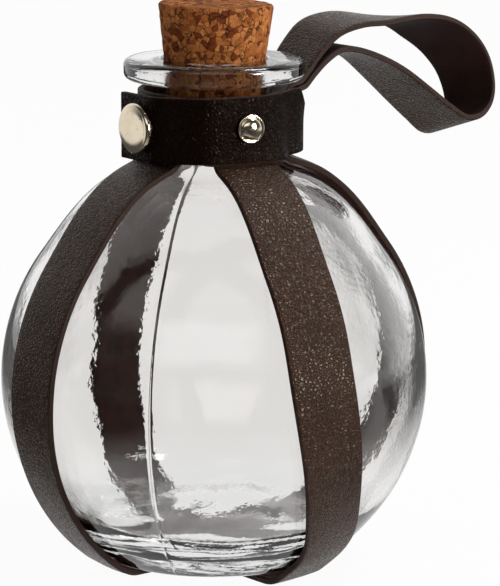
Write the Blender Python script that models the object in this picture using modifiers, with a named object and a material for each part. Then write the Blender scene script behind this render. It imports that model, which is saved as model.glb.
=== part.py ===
"""Potion bottle: a corked glass globe carried in a riveted leather harness.

Metres, +Z up. The origin is on the bottle's axis, where the lower strap meets the ground.
The snap of the collar faces -Y, and the carrying loop leaves the collar at +Y.
An azimuth is 0 at -Y and grows towards +X. A profile is a list of (radius, height) points.
"""

from math import atan2, cos, degrees, hypot, pi, radians, sin, sqrt

import bmesh
import bpy
from mathutils import Matrix, Vector

# Clearances
gap = 0.0003                  # between pieces that touch
seat_gap = 0.0002             # under a metal flange
bore_clearance = 0.0005       # round the leaning cork
overrun = 0.004               # how far a cutter passes through
small_turn = 0.001            # radians of cross bend that count as flat
merge_distance = 0.00001

# Glass
body_radius = 0.048
base_radius = 0.0273          # where the globe meets the base, before the heel is rounded
base_wall = 0.007
wall = 0.003
heel_round = 0.004
floor_round = 0.018
punt_radius = 0.0085
punt_depth = 0.0012
crown_lift = 0.003            # how far the shoulder stands outside the globe
crown_start = 36              # degrees above the globe's middle
crown_end = 66
shoulder_round = 0.005
neck_radius = 0.0136
neck_length = 0.0145          # from the shoulder's round up to the lip
lip_radius = 0.02006
lip_height = 0.0047
lip_round = 0.0016
lip_corner = 0.0008
bore_round = 0.0007
glass_segments = 40

# Cork
cork_top_radius = 0.0127
cork_bottom_radius = 0.0096
cork_length = 0.026
cork_depth = 0.014
cork_round = 0.0007
cork_lean = 1.4               # degrees
cork_lean_azimuth = 143.5
cork_segments = 32

# Leather
leather = 0.0014
strap_width = 0.0152
strap_low_share = 0.87        # of that width, where a strap goes under the bottle
strap_taper_top = 0.005       # above the globe's middle, where a strap starts to narrow
strap_taper = 0.035
loop_width = 0.0143
# Azimuths of both halves of both straps, evenly spaced from the globe's foot to its shoulder.
cradle_front_turn_shares = [-1, -0.8, -0.4, 0.1, 0.2, 0.2, 0]
cradle_back_turn_shares = [176, 170, 166, 165, 165.5, 166.3, 168]
cross_front_turn_shares = [97, 89.3, 84.8, 82, 81.2, 80.3, 80]
cross_back_turn_shares = [267, 265.5, 263.5, 262.5, 262, 262.5, 263]
turn_range_shares = (-0.75, 1.05)  # of the globe's radius, above its middle
strap_bend = 0.005            # where a strap leaves the neck
strap_back_bend = 0.0044      # where the cradle strap leaves it, under the loop's tails
strap_relax = 0.004           # height over which a strap goes from curved to flat across
strap_cling_share = 0.4       # of the glass's curve that a strap keeps across its width
strap_top_inset = 0.0015      # strap end below the collar's top
cradle_leave = 50             # degrees below the globe's middle, where the strap leaves the glass
cradle_heel_bend = 0.009
cross_leave = 51
cross_heel_bend = 0.008

# Collar
collar_lip_gap = 0.002        # between the collar and the lip
collar_drop = 0.0021          # below the foot of the neck, over the shoulder's round
collar_end_azimuth = 376      # inner end, under the flap
flap_azimuth = 44             # where the flap bends off the collar
collar_dip = 0.0036           # the top edge is lower under the carrying loop
collar_flare = 0.0004         # and leans out there
dip_full, dip_none = 26, 36   # degrees from the back
flare_full, flare_none = 26, 38
swell_full, swell_none = 27, 50    # degrees from a strap that the collar swells over
# Azimuth and number of extra layers that the collar climbs over.
collar_layer_shares = [(44, 1), (74, 0), (125, 0), (158, 2), (202, 2), (235, 0), (376, 0)]

# Flap and snap
flap_reach = 0.0065            # snap axis to the square end
flap_bend = 0.006
snap_room = 0.0022            # between the collar and the flap, at the snap
snap_cap_radius = 0.0056
snap_cap_height = 0.0017
snap_cap_crown = 0.0003
snap_rim_round = 0.0007
cap_post_radius = 0.00135
socket_radius = 0.004
socket_bore = 0.0025
socket_height = 0.0007
socket_plate = 0.00025
stud_flange_radius = 0.0034
stud_flange = 0.00035
stud_radius = 0.00185
stud_height = 0.0008

# Rivets
rivet_ring_radius = 0.0032
rivet_ring_height = 0.0004
rivet_dome_radius = 0.00245
rivet_dome_height = 0.0011
rivet_right_azimuth = 81
rivet_left_azimuth = 263
rivet_rise = 0.0003           # above the collar's middle
rivet_back_drop = 0.003       # below the collar's middle
post_radius = 0.001
post_flange_radius = 0.003
post_flange = 0.00035
post_bite = 0.0006            # how far a post reaches into its cap
hole_clearance = 0.0003
metal_segments = 20

# Carrying loop
loop_reach = 0.0537           # fold to the far end
loop_exit = 45                # degrees above level where the loop leaves the collar
loop_bend = 0.004
loop_lip_gap = 0.00038        # between the loop and the lip
loop_fold_out = 0.006         # along the exit, from the bend to the fold
loop_flatten = 0.003          # along the exit, until the strap is flat across
loop_up = 40                  # degrees that the fold lets the loop rise
loop_down = 35
fold_margin = 2
fold_gap = 0.00015
tail_inset = 0.0027           # tail end above the collar's lower edge
loop_rows = 50
# Out and up from the fold, then how much the near edge leads out and up, per unit across.
loop_route_shares = [
    (0.045, 0.082, 0.02, -0.05), (0.140, 0.160, 0.05, -0.09), (0.268, 0.190, 0.05, -0.09),
    (0.410, 0.186, 0.05, -0.04), (0.610, 0.169, 0.08, 0.19), (0.754, 0.120, 0.42, 0.36),
    (0.866, 0.049, 0.52, 0.38), (0.950, -0.047, 0.43, 0.37), (0.993, -0.160, 0.32, 0.36),
    (0.988, -0.248, 0.26, 0.36), (0.931, -0.304, 0.26, 0.36), (0.848, -0.304, 0.26, 0.34),
    (0.756, -0.244, 0.22, 0.27), (0.644, -0.160, 0.17, 0.23), (0.508, -0.058, 0.08, 0.18),
    (0.372, 0.028, 0.03, 0.04), (0.242, 0.076, 0, 0), (0.155, 0.080, 0, 0), (0.076, 0.041, 0, 0)]

# Places that follow
layer = leather + gap
base_height = 2 * layer
centre_height = base_height + sqrt(body_radius ** 2 - base_radius ** 2)
crown_radius = body_radius + crown_lift
neck_foot = centre_height + sqrt((crown_radius + shoulder_round) ** 2
                                 - (neck_radius + shoulder_round) ** 2)
lip_underside = neck_foot + neck_length
rim_height = lip_underside + lip_height
collar_bottom = neck_foot - collar_drop
collar_height = neck_length + collar_drop - collar_lip_gap
collar_top = collar_bottom + collar_height
collar_middle = collar_bottom + collar_height / 2
strap_offset = gap + leather / 2
strap_radius = neck_radius + strap_offset
tail_inner_radius = strap_radius + layer
tail_outer_radius = tail_inner_radius + layer
collar_radius = strap_radius + layer
collar_face = collar_radius + leather / 2
flap_inner = collar_face + snap_room
flap_outer = flap_inner + leather
cork_slope = (cork_top_radius - cork_bottom_radius) / cork_length


def scene_collection(name):
    collection = bpy.data.collections.new(name)
    bpy.context.scene.collection.children.link(collection)
    return collection


def material(name, colour, roughness, metallic=0, transmission=0):
    made = bpy.data.materials.new(name)
    made.use_nodes = True
    shader = made.node_tree.nodes["Principled BSDF"]
    shader.inputs["Base Color"].default_value = (*colour, 1)
    shader.inputs["Roughness"].default_value = roughness
    shader.inputs["Metallic"].default_value = metallic
    shader.inputs["Transmission Weight"].default_value = transmission
    return made


for old in list(bpy.data.objects):
    bpy.data.objects.remove(old)

parts = scene_collection("potion_bottle")
cutters = scene_collection("cutters")
glass = material("clear glass", (0.93, 0.96, 0.96), 0.02, transmission=1)
cork = material("agglomerated cork", (0.55, 0.33, 0.17), 0.85)
brown_leather = material("dark brown leather", (0.045, 0.025, 0.017), 0.5)
nickel = material("polished nickel", (0.75, 0.73, 0.70), 0.18, metallic=1)


def smooth(mesh, angle=35):
    mesh.shade_smooth()
    mesh.set_sharp_from_angle(angle=radians(angle))


def ease(share):
    share = min(max(share, 0), 1)
    return share * share * (3 - 2 * share)


def spline(knots, share):
    """A smooth curve through knots, evenly in their number."""
    place = share * (len(knots) - 1)
    first = min(int(place), len(knots) - 2)
    t = place - first
    a, b, c, d = (knots[min(max(first + step, 0), len(knots) - 1)] for step in (-1, 0, 1, 2))
    return 0.5 * (2 * b + (c - a) * t + (2 * a - 5 * b + 4 * c - d) * t * t
                  + (3 * b - a - 3 * c + d) * t ** 3)


def arc(centre, radius, start, end, steps):
    """Points of an arc in a profile, by angles in degrees above the outward direction."""
    turns = [radians(start + (end - start) * step / steps) for step in range(steps + 1)]
    return [(centre[0] + radius * cos(turn), centre[1] + radius * sin(turn)) for turn in turns]


def turned(name, profile, finish, segments):
    """A solid of revolution about its own Z, from a profile that runs down its outer side."""
    mesh = bpy.data.meshes.new(name)
    mesh.from_pydata([(radius, 0, height) for radius, height in profile],
                     [(place, place + 1) for place in range(len(profile) - 1)], [])
    body = bpy.data.objects.new(name, mesh)
    parts.objects.link(body)
    mesh.materials.append(finish)
    screw = body.modifiers.new("turn", "SCREW")
    screw.steps = segments
    screw.render_steps = segments
    screw.use_merge_vertices = True
    screw.merge_threshold = merge_distance
    screw.use_smooth_shade = True
    return body


def sheet(name, rows, across, point):
    """A leather strip: a grid laid out by point(row, side) and thickened both ways."""
    bm = bmesh.new()
    bmesh.ops.create_grid(bm, x_segments=rows - 1, y_segments=across, size=1)
    for vertex in bm.verts:
        row = round((vertex.co.x + 1) / 2 * (rows - 1))
        vertex.co = point(row, vertex.co.y)
    mesh = bpy.data.meshes.new(name)
    bm.to_mesh(mesh)
    bm.free()
    mesh.materials.append(brown_leather)
    smooth(mesh)
    strip = bpy.data.objects.new(name, mesh)
    parts.objects.link(strip)
    thickness = strip.modifiers.new("thickness", "SOLIDIFY")
    thickness.thickness = leather
    thickness.offset = 0
    thickness.use_even_offset = True
    return strip


def outward(azimuth):
    turn = radians(azimuth)
    return Vector((sin(turn), -cos(turn), 0))


def facing(azimuth, radius, height):
    """A frame at a radius whose Z points outwards at an azimuth."""
    out = outward(azimuth)
    up = Vector((0, 0, 1))
    turn = Matrix((up.cross(out), up, out)).transposed().to_4x4()
    return Matrix.Translation(out * radius + up * height) @ turn


def cut(body, cutter):
    boolean = body.modifiers.new("cut by " + cutter.name, "BOOLEAN")
    boolean.object = cutter


def hide_cutter(cutter, name):
    cutter.name = name
    for collection in list(cutter.users_collection):
        collection.objects.unlink(cutter)
    cutters.objects.link(cutter)
    cutter.hide_render = True
    cutter.display_type = "WIRE"
    return cutter


def round_cutter(name, radius, place, start, end):
    """A drill along a frame's Z from start to end."""
    bpy.ops.mesh.primitive_cylinder_add(vertices=metal_segments, radius=radius, depth=end - start)
    drill = bpy.context.object
    drill.matrix_world = place @ Matrix.Translation((0, 0, (start + end) / 2))
    return hide_cutter(drill, name)


def box_cutter(name, size, place):
    bpy.ops.mesh.primitive_cube_add(size=1)
    box = bpy.context.object
    box.data.transform(Matrix.Diagonal((*size, 1)))
    box.matrix_world = place
    return hide_cutter(box, name)


def hang(empty_name, position, pieces):
    """Parent moving pieces to an empty on their joint's axis, where they already are."""
    joint = bpy.data.objects.new(empty_name, None)
    parts.objects.link(joint)
    joint.location = position
    for piece in pieces:
        piece.matrix_basis = Matrix.Translation(-Vector(position)) @ piece.matrix_basis
        piece.parent = joint


# Glass bottle


def globe_radius(elevation):
    """The glass outside at an elevation: a sphere that swells slightly at the shoulder."""
    return body_radius + crown_lift * ease((elevation - crown_start) / (crown_end - crown_start))


def globe(inset, start, end, steps):
    points = []
    for step in range(steps + 1):
        elevation = start + (end - start) * step / steps
        radius = globe_radius(elevation) + inset
        points.append((radius * cos(radians(elevation)),
                       centre_height + radius * sin(radians(elevation))))
    return points


def shoulder(inset, bend, inner):
    """Centre height of the round between a neck of radius inner and the shoulder, and its elevation."""
    rise = sqrt((crown_radius + inset + bend) ** 2 - (inner + bend) ** 2)
    return centre_height + rise, degrees(atan2(rise, inner + bend))


def bore_radius(height):
    cork_here = cork_top_radius - cork_slope * (cork_length - cork_depth)
    return cork_here + bore_clearance - cork_slope * (rim_height - height)


def bottle_outside():
    heel_height = base_height + heel_round
    heel_radius = sqrt((body_radius - heel_round) ** 2 - (centre_height - heel_height) ** 2)
    heel_elevation = degrees(atan2(heel_height - centre_height, heel_radius))
    turn_height, turn_elevation = shoulder(0, shoulder_round, neck_radius)
    lip_low = lip_underside + lip_round
    lip_high = rim_height - lip_round
    edge = lip_radius - lip_round
    return [
        *arc((edge, lip_high), lip_round, 90, 0, 4),
        *arc((edge, lip_low), lip_round, 0, -90, 4),
        *arc((neck_radius + lip_corner, lip_underside - lip_corner), lip_corner, 90, 180, 3),
        *arc((neck_radius + shoulder_round, turn_height), shoulder_round,
             180, 180 + turn_elevation, 4),
        *globe(0, turn_elevation, heel_elevation, 17)[1:],
        *arc((heel_radius, heel_height), heel_round, heel_elevation, -90, 4)[1:],
        *punt(),
    ]


def punt():
    """The hollow under the base, a shallow dome down to the axis."""
    steps = 4
    shares = [1 - step / steps for step in range(steps + 1)]
    return [(punt_radius * share, base_height + punt_depth * (1 - share ** 2)) for share in shares]


def bottle_inside():
    floor = base_height + base_wall
    inner_radius = body_radius - wall
    round_height = floor + floor_round
    round_radius = sqrt((inner_radius - floor_round) ** 2 - (centre_height - round_height) ** 2)
    round_elevation = degrees(atan2(round_height - centre_height, round_radius))
    throat = bore_radius(rim_height - cork_depth - bore_round)
    bend = shoulder_round + wall
    turn_height, turn_elevation = shoulder(-wall, bend, throat)
    mouth = bore_radius(rim_height)
    return [
        (0, floor),
        *arc((round_radius, round_height), floor_round, -90, round_elevation, 5),
        *globe(-wall, round_elevation, turn_elevation, 12)[1:],
        *arc((throat + bend, turn_height), bend, 180 + turn_elevation, 180, 4)[1:],
        (throat, rim_height - cork_depth - bore_round),
        *arc((mouth + bore_round, rim_height - bore_round), bore_round, 180, 90, 3),
    ]


bottle = turned("glass_bottle", bottle_inside() + bottle_outside(), glass, glass_segments)

# Cork

cork_profile = [
    (0, cork_length),
    *arc((cork_top_radius - cork_round, cork_length - cork_round), cork_round, 90, 0, 3),
    *arc((cork_bottom_radius - cork_round, cork_round), cork_round, 0, -90, 3),
    (0, 0),
]
stopper = turned("cork_stopper", cork_profile, cork, cork_segments)
lean_axis = Vector((0, 0, 1)).cross(outward(cork_lean_azimuth))
lean = Matrix.Rotation(radians(cork_lean), 4, lean_axis)
cork_pivot = Matrix.Translation((0, 0, rim_height - cork_depth / 4))
stopper.matrix_basis = cork_pivot @ lean @ Matrix.Translation((0, 0, -cork_depth * 3 / 4))

# Cradle straps


def strap_route(heel, bend):
    """Half of a strap's middle line, from the collar down to the bottle's axis."""
    lift, leave_angle, heel_bend = heel
    turn_height, turn_elevation = shoulder(strap_offset, bend, strap_radius)
    ground = lift + leather / 2
    leave = globe(strap_offset, -leave_angle, -leave_angle, 1)[0]
    fall = radians(90 - leave_angle)
    bend_drop = heel_bend * (1 - cos(fall))
    straight = (leave[1] - ground - bend_drop) / sin(fall)
    bend_start = (leave[0] - straight * cos(fall), leave[1] - straight * sin(fall))
    bend_centre = (bend_start[0] - heel_bend * sin(fall), ground + heel_bend)
    top = collar_top - strap_top_inset
    upright = [
        *[(strap_radius, top + (turn_height - top) * step / 2) for step in range(2)],
        *arc((strap_radius + bend, turn_height), bend, 180, 180 + turn_elevation, 7),
        *globe(strap_offset, turn_elevation, -leave_angle, 16)[1:],
    ]
    heel_line = [((leave[0] + bend_start[0]) / 2, (leave[1] + bend_start[1]) / 2),
                 *arc(bend_centre, heel_bend, -leave_angle, -90, 6)]
    level = [(bend_centre[0] * share, ground) for share in (2 / 3, 1 / 3, 0)]
    return upright, heel_line, level


def strap_azimuth(turn_shares, height):
    low, high = turn_range_shares
    place = ((height - centre_height) / body_radius - low) / (high - low)
    return spline(turn_shares, min(max(place, 0), 1))


def wrapped(profile, turn_shares):
    """A strap's middle line round the glass, from its section and its azimuths."""
    return [outward(strap_azimuth(turn_shares, height)) * radius + Vector((0, 0, height))
            for radius, height in profile]


def flat_direction(start, end):
    return Vector((end.x - start.x, end.y - start.y, 0)).normalized()


def run_under(start, end, begin, finish, profile):
    """A line from start to end that leaves and arrives in two directions, at a section's heights."""
    length = Vector((end.x - start.x, end.y - start.y)).length
    reach = hypot(start.x, start.y)
    line = []
    for radius, height in profile + [(-radius, height) for radius, height in profile[-2::-1]]:
        share = (reach - radius) / (2 * reach)
        place = start.lerp(end, ease(share)) + length * (
            begin * share * (1 - share) ** 2 - finish * share ** 2 * (1 - share))
        line.append(Vector((place.x, place.y, height)))
    return line


def cling(height, top):
    """The share of the glass's curve that a strap has across its width at a height."""
    return 1 - (1 - strap_cling_share) * ease((top - height) / strap_relax)


def glass_distance(radius, height):
    """How far a point in the bottle's section lies from the glass outside."""
    nearest = None
    outline = bottle_outside()
    for (r0, z0), (r1, z1) in zip(outline, outline[1:]):
        length = hypot(r1 - r0, z1 - z0)
        along = ((radius - r0) * (r1 - r0) + (height - z0) * (z1 - z0)) / length ** 2
        along = min(max(along, 0), 1)
        away = hypot(radius - r0 - along * (r1 - r0), height - z0 - along * (z1 - z0))
        nearest = away if nearest is None else min(nearest, away)
    return nearest


def strap_points(front, back, heel, far_bend, far_top):
    """The strap's middle surface as a function of row and side, and its number of rows."""
    upright, heel_line, level = strap_route(heel, strap_bend)
    far_upright, _, _ = strap_route(heel, far_bend)
    near, far = wrapped(upright, front), wrapped(far_upright, back)
    under = run_under(near[-1], far[-1], flat_direction(near[-2], near[-1]),
                      flat_direction(far[-1], far[-2]), heel_line + level)
    route = near + under + far[::-1]
    last = len(route) - 1
    level_rows = range(len(near) + len(heel_line), len(route) - len(far) - len(heel_line))

    def point(row, side):
        spot = route[row]
        along = (route[min(row + 1, last)] - route[max(row - 1, 0)]).normalized()
        narrowing = ease((centre_height + strap_taper_top - spot.z) / strap_taper)
        reach = side * strap_width / 2 * (1 - (1 - strap_low_share) * narrowing)
        if row in level_rows:
            return spot + Vector((0, 0, -1)).cross(along).normalized() * reach
        near_half = row < level_rows.start
        down = along if near_half else -along
        out = Vector((spot.x, spot.y, 0)).normalized()
        normal = out * -down.z + Vector((0, 0, down.dot(out)))
        width = normal.cross(along).normalized()
        normal = along.cross(width)
        relax_top = near_top if near_half else far_top
        bend = normal.dot(out) / hypot(spot.x, spot.y) * cling(spot.z, relax_top)
        if abs(bend * reach) < small_turn:
            return spot + width * reach
        place = (spot + width * sin(bend * reach) / bend
                 - normal * (1 - cos(bend * reach)) / bend)
        short = strap_offset - glass_distance(hypot(place.x, place.y), place.z)
        return place + normal * max(short, 0)

    return point, len(route)


def strap(name, front, back, heel, far_bend, far_top):
    point, rows = strap_points(front, back, heel, far_bend, far_top)
    return sheet(name, rows, 4, point)


near_top = collar_bottom + strap_relax
cradle_heel = (layer, cradle_leave, cradle_heel_bend)
cross_heel = (0, cross_leave, cross_heel_bend)
cradle_strap = strap("cradle_strap", cradle_front_turn_shares, cradle_back_turn_shares,
                     cradle_heel, strap_back_bend, collar_bottom)
cross_strap = strap("cross_strap", cross_front_turn_shares, cross_back_turn_shares,
                    cross_heel, strap_bend, near_top)

# Neck collar


def collar_layers(azimuth):
    for (start, low), (end, high) in zip(collar_layer_shares, collar_layer_shares[1:]):
        if azimuth <= end:
            return low + (high - low) * ease((azimuth - start) / (end - start))
    return collar_layer_shares[-1][1]


def near_back(azimuth, full, none):
    return ease((none - abs(azimuth - 180)) / (none - full))


def collar_swell(azimuth, height):
    """How far the straps, which are flat and lean out at the shoulder, push the collar out."""
    turn_height, _ = shoulder(strap_offset, strap_bend, strap_radius)
    below = max(turn_height - height, 0)
    upright = sqrt(1 - (below / strap_bend) ** 2)
    centre = strap_radius + strap_bend * (1 - upright)
    over = centre + leather / 2 / upright + gap + leather / 2
    flat = 1 - cling(height, near_top)
    swell = 0
    for turn_shares in (cradle_front_turn_shares, cross_front_turn_shares, cross_back_turn_shares):
        away = abs((azimuth - turn_shares[-1] + 180) % 360 - 180)
        within = cos(radians(min(away, swell_full)))
        here = over * (1 + flat * (1 / within - 1)) - collar_radius
        swell = max(swell, here * ease((swell_none - away) / (swell_none - swell_full)))
    return swell


collar_start = flap_azimuth + degrees(gap / (collar_radius + layer))
collar_rows = 62


def collar_point(row, side):
    azimuth = collar_start + (collar_end_azimuth - collar_start) * row / (collar_rows - 1)
    height = (side + 1) / 2
    top = collar_height - collar_dip * near_back(azimuth, dip_full, dip_none)
    place = collar_bottom + height * top
    radius = collar_radius + max(layer * collar_layers(azimuth), collar_swell(azimuth, place))
    radius += collar_flare * near_back(azimuth, flare_full, flare_none) * max(side, 0) ** 2
    return outward(azimuth) * radius + Vector((0, 0, place))


neck_collar = sheet("neck_collar", collar_rows, 6, collar_point)

# Collar flap, which swings about a vertical line in the outer face of the collar's fold

fold_radius = collar_radius + layer
flap_fold = outward(flap_azimuth) * (fold_radius + leather / 2)
flap_turn = radians(flap_azimuth)
flap_start = outward(flap_azimuth) * fold_radius
flap_rise = flap_inner + leather / 2 + flap_start.y
flap_straight = (flap_rise - flap_bend * (1 - cos(flap_turn))) / sin(flap_turn)


def flap_route():
    """The flap's middle line seen from above: straight off the fold, a bend, then flat."""
    away = Vector((-cos(flap_turn), -sin(flap_turn), 0))
    first = flap_start + away * gap
    turn_from = flap_start + away * flap_straight
    centre = turn_from + Vector((-sin(flap_turn), cos(flap_turn), 0)) * flap_bend
    steps = 6
    route = [first, (first + turn_from) / 2]
    for step in range(steps + 1):
        turn = flap_turn * (1 - step / steps)
        route.append(centre + Vector((sin(turn), -cos(turn), 0)) * flap_bend)
    flat_from = route[-1]
    end = Vector((-flap_reach, flat_from.y, 0))
    route += [flat_from.lerp(end, share / 4) for share in range(1, 5)]
    return route


flap_line = flap_route()


def flap_point(row, side):
    return flap_line[row] + Vector((0, 0, collar_middle + side * collar_height / 2))


collar_flap = sheet("collar_flap", len(flap_line), 4, flap_point)

# Loop strap: two tails behind the collar, and the loop that swings on their fold

exit_turn = radians(loop_exit)
exit_along = Vector((0, cos(exit_turn), sin(exit_turn)))
exit_across = Vector((0, -sin(exit_turn), cos(exit_turn)))
bend_out = tail_inner_radius + loop_bend
lip_edge = Vector((0, lip_radius - lip_round, lip_underside + lip_round))
clear = lip_round + leather / 2 + loop_lip_gap
bend_height = lip_edge.z + ((bend_out - lip_edge.y) * sin(exit_turn)
                            - clear - loop_bend) / cos(exit_turn)
bend_point = Vector((0, bend_out, bend_height))
exit_middle = bend_point + exit_across * (loop_bend - layer / 2)
loop_fold = exit_middle + exit_along * loop_fold_out


def tail_rows(radius):
    """Places, outward normals and cross bends of a tail, from its end up to the fold."""
    bend = bend_out - radius
    low = collar_bottom + tail_inset
    rows = []
    for step in range(5):
        place = Vector((0, radius, low + (bend_height - low) * step / 5))
        rows.append((place, Vector((0, 1, 0)), 1 / radius))
    for step in range(7):
        turn = exit_turn * step / 6
        normal = Vector((0, cos(turn), -sin(turn)))
        rows.append((bend_point - normal * bend, normal, 1 / radius))
    start, normal, curve = rows[-1]
    for step in range(1, 9):
        travel = loop_fold_out * step / 8
        flat = 1 - ease(travel / loop_flatten)
        rows.append((start + exit_along * travel, normal, curve * flat))
    return rows


def tail(name, radius):
    rows = tail_rows(radius)

    def point(row, side):
        place, normal, bend = rows[row]
        reach = side * loop_width / 2
        if abs(bend * reach) < small_turn:
            return place + Vector((reach, 0, 0))
        across = Vector((sin(bend * reach) / bend, 0, 0))
        return place + across - normal * (1 - cos(bend * reach)) / bend

    return sheet(name, len(rows), 4, point)


loop_knots = [exit_across * layer / 2]
loop_knots += [Vector((0, out, up)) * loop_reach for out, up, lead_out, lead_up in loop_route_shares]
loop_knots += [-exit_across * layer / 2]
loop_leads = [Vector((0, lead_out, lead_up)) for out, up, lead_out, lead_up in loop_route_shares]
loop_leads = [Vector((0, 0, 0)), *loop_leads, Vector((0, 0, 0))]


def loop_point(row, side):
    share = row / (loop_rows - 1)
    width = (Vector((1, 0, 0)) + spline(loop_leads, share)).normalized()
    return loop_fold + spline(loop_knots, share) + width * side * loop_width / 2


tail_inner = tail("loop_tail_inner", tail_inner_radius)
tail_outer = tail("loop_tail_outer", tail_outer_radius)
carry_loop = sheet("carry_loop", loop_rows, 4, loop_point)


def fold_cutter(name, side, angle, towards):
    """A block that trims one layer along a plane through the fold, leaning by an angle."""
    size = Vector((loop_width + 2 * overrun, 2 * overrun, leather + 2 * gap))
    lean_by = side * towards * radians(angle / 2)
    frame = Matrix.Rotation(exit_turn, 4, "X")
    lift = Matrix.Translation((0, towards * (overrun - fold_gap), side * size.z / 2))
    turn = Matrix.Rotation(lean_by, 4, "X")
    return box_cutter(name, size, Matrix.Translation(loop_fold) @ frame @ turn @ lift)


cut(tail_inner, fold_cutter("inner tail trim", 1, loop_up + fold_margin, 1))
cut(carry_loop, fold_cutter("upper run trim", 1, loop_up + fold_margin, -1))
cut(tail_outer, fold_cutter("outer tail trim", -1, loop_down + fold_margin, 1))
cut(carry_loop, fold_cutter("lower run trim", -1, loop_down + fold_margin, -1))

# Posts, rivets and the snap


def drill(name, place, leathers, start, end):
    hole = round_cutter(name + " hole", post_radius + hole_clearance, place, start, end)
    for piece in leathers:
        cut(piece, hole)


def post(name, azimuth, height, leathers, outer_face, beyond):
    """A post with a flange let into the strap's inner face, and the holes that it fills."""
    flange_face = neck_radius + gap
    place = facing(azimuth, 0, height)
    shoulder_face = flange_face + post_flange
    tip = outer_face + beyond
    seat = round_cutter(name + " seat", post_flange_radius + hole_clearance, place,
                        flange_face - overrun, shoulder_face + seat_gap)
    cut(leathers[0], seat)
    drill(name, place, leathers, neck_radius, tip + overrun)
    profile = [(0, tip), (post_radius, tip), (post_radius, shoulder_face),
               (post_flange_radius, shoulder_face), (post_flange_radius, flange_face),
               (0, flange_face)]
    made = turned(name, profile, nickel, metal_segments)
    made.matrix_basis = place
    return made


def rivet_cap(name, azimuth, height, face):
    """A domed cap on a flat ring, hollow for the tip of its post."""
    low = face + seat_gap
    ring_top = low + rivet_ring_height
    dome_top = ring_top + rivet_dome_height
    bore = post_radius + hole_clearance
    bore_top = face + post_bite + seat_gap
    crown = [(rivet_dome_radius * sin(turn), ring_top + rivet_dome_height * cos(turn))
             for turn in [pi / 2 * step / 5 for step in range(6)]]
    round_off = rivet_ring_height / 2
    profile = crown + [
        *arc((rivet_ring_radius - round_off, low + round_off), round_off, 90, -90, 3),
        (bore, low), (bore, bore_top), (0, bore_top)]
    made = turned(name, profile, nickel, metal_segments)
    made.matrix_basis = facing(azimuth, 0, height)
    return made, dome_top


def rivet(side, azimuth, height, leathers):
    face = collar_radius + layer * collar_layers(azimuth) + leather / 2
    rivet_cap("rivet_" + side + "_cap", azimuth, height, face)
    post("rivet_" + side + "_post", azimuth, height, leathers, face, post_bite)


rivet_height = collar_middle + rivet_rise
rivet("right", rivet_right_azimuth, rivet_height, [cross_strap, neck_collar])
rivet("left", rivet_left_azimuth, rivet_height, [cross_strap, neck_collar])
rivet("back", 180, collar_middle - rivet_back_drop,
      [cradle_strap, tail_inner, tail_outer, neck_collar])

snap_place = facing(0, 0, collar_middle)
stud_low = collar_face + seat_gap
stud_top = stud_low + stud_height
post("snap_post", 0, collar_middle, [cradle_strap, neck_collar], collar_face,
     seat_gap + stud_height)

stud_bore = post_radius + hole_clearance
stud = turned("snap_stud", [
    (stud_bore, stud_top), (stud_radius, stud_top), (stud_radius, stud_low + stud_flange),
    (stud_flange_radius, stud_low + stud_flange), (stud_flange_radius, stud_low),
    (stud_bore, stud_low), (stud_bore, stud_top)], nickel, metal_segments)
stud.matrix_basis = snap_place

socket_top = flap_inner - seat_gap
socket_low = socket_top - socket_height
socket_hole = cap_post_radius + hole_clearance
socket = turned("snap_socket", [
    (socket_hole, socket_top), (socket_radius, socket_top), (socket_radius, socket_low),
    (socket_bore, socket_low), (socket_bore, socket_top - socket_plate),
    (socket_hole, socket_top - socket_plate), (socket_hole, socket_top)], nickel, metal_segments)
socket.matrix_basis = snap_place

cap_low = flap_outer + seat_gap
cap_edge = cap_low + snap_cap_height - snap_cap_crown
cap_tip = socket_top - socket_plate
flat_radius = snap_cap_radius - snap_rim_round
snap_cap = turned("snap_cap", [
    (0, cap_edge + snap_cap_crown),
    *[(flat_radius * share, cap_edge + snap_cap_crown * (1 - share ** 4))
      for share in (0.3, 0.5, 0.7, 0.85)],
    *arc((flat_radius, cap_edge - snap_rim_round), snap_rim_round, 90, 0, 3),
    (snap_cap_radius, cap_low), (cap_post_radius, cap_low), (cap_post_radius, cap_tip),
    (0, cap_tip)], nickel, metal_segments)
snap_cap.matrix_basis = snap_place
flap_hole = round_cutter("flap hole", cap_post_radius + hole_clearance, snap_place,
                         flap_inner - overrun, flap_outer + overrun)
cut(collar_flap, flap_hole)

# Joints

hang("cork_axis", cork_pivot.to_translation(), [stopper])
hang("flap_axis", flap_fold + Vector((0, 0, collar_middle)), [collar_flap, snap_cap, socket])
hang("loop_axis", loop_fold, [carry_loop])
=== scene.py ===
from math import atan2, cos, degrees, exp, hypot, pi, radians, sin, sqrt

import bmesh
import bpy
from mathutils import Matrix, Vector, noise


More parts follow.
